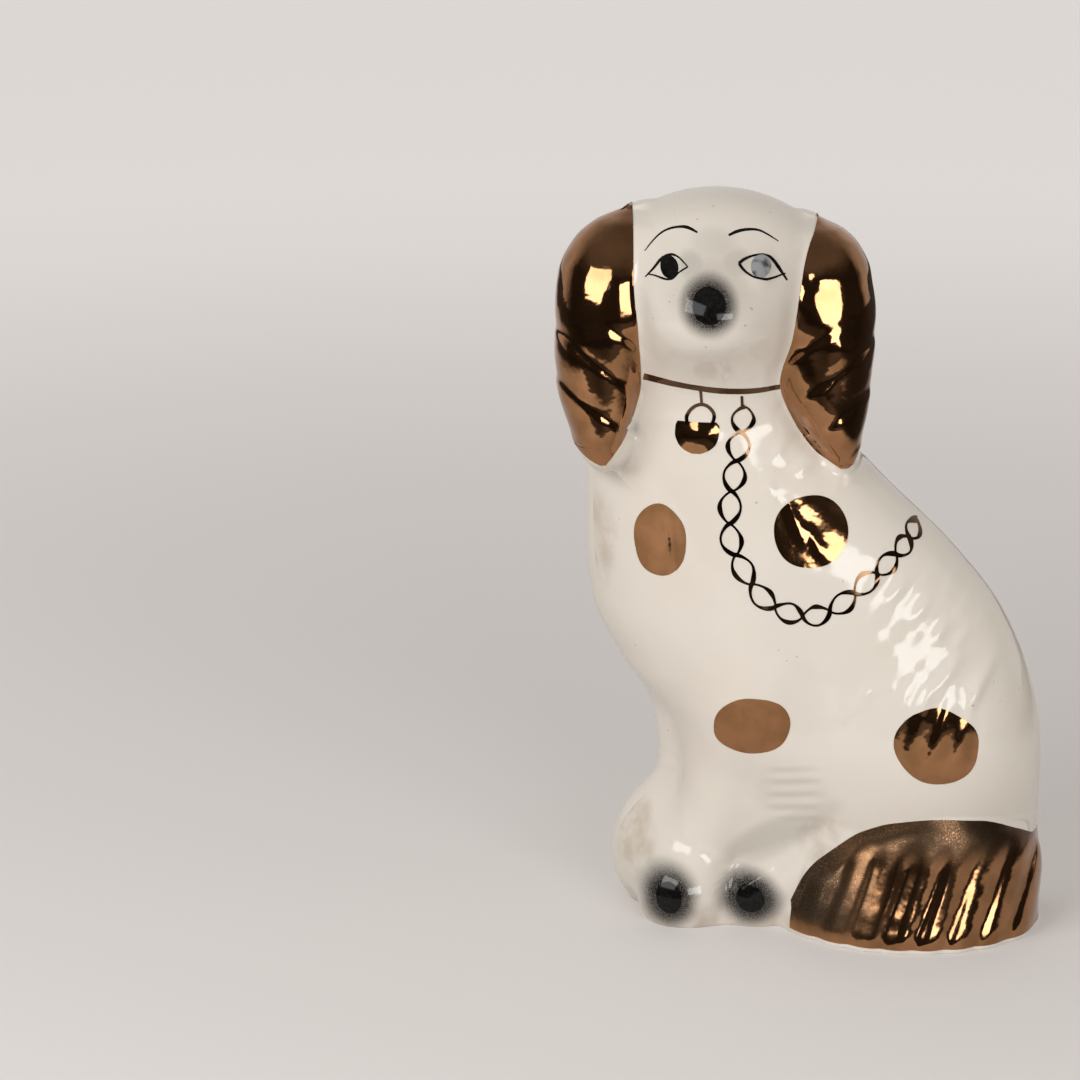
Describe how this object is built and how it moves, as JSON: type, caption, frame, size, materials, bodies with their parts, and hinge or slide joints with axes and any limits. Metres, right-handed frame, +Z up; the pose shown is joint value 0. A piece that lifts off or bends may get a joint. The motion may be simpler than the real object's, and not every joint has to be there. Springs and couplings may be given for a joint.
{
  "type": "staffordshire dog figure",
  "caption": "Seated spaniel mantel ornament in cream glazed earthenware, hollow cast in two halves, with gold lustre ears, tail, spots and chain, and a black painted face and toes.",
  "frame": {"origin": "middle of the footprint's bounding box, on the surface that the figure stands on", "axes": "+Z up; -Y the way the face and the painted side look; -X towards the chest, +X towards the rump"},
  "size_m": [0.1719, 0.094, 0.257],
  "materials": {
    "cream_glaze": "glossy cream-white lead glaze over earthenware",
    "bare_clay": "unglazed biscuit, matt, wiped clean for the kiln shelf",
    "gold_lustre": "bright bronze-gold lustre, mirror glossy over the glaze",
    "black_enamel": "glossy black enamel with sprayed soft edges"
  },
  "bodies": {
    "root": {"front_half": "cream_glaze", "back_half": "cream_glaze", "base_slab": "bare_clay", "ear_gilding_left": "gold_lustre", "ear_gilding_right": "gold_lustre", "tail_gilding": "gold_lustre", "spot_chest": "gold_lustre", "spot_shoulder": "gold_lustre", "spot_foreleg": "gold_lustre", "spot_haunch": "gold_lustre", "collar": "gold_lustre", "padlock_body": "gold_lustre", "padlock_shackle": "gold_lustre", "lead_chain": "gold_lustre", "nose": "black_enamel", "eye_line_left": "black_enamel", "eye_line_right": "black_enamel", "iris_left": "black_enamel", "iris_right": "black_enamel", "brow_left": "black_enamel", "brow_right": "black_enamel", "toes_fore": "black_enamel", "toes_hind": "black_enamel"}
  },
  "joints": []
}
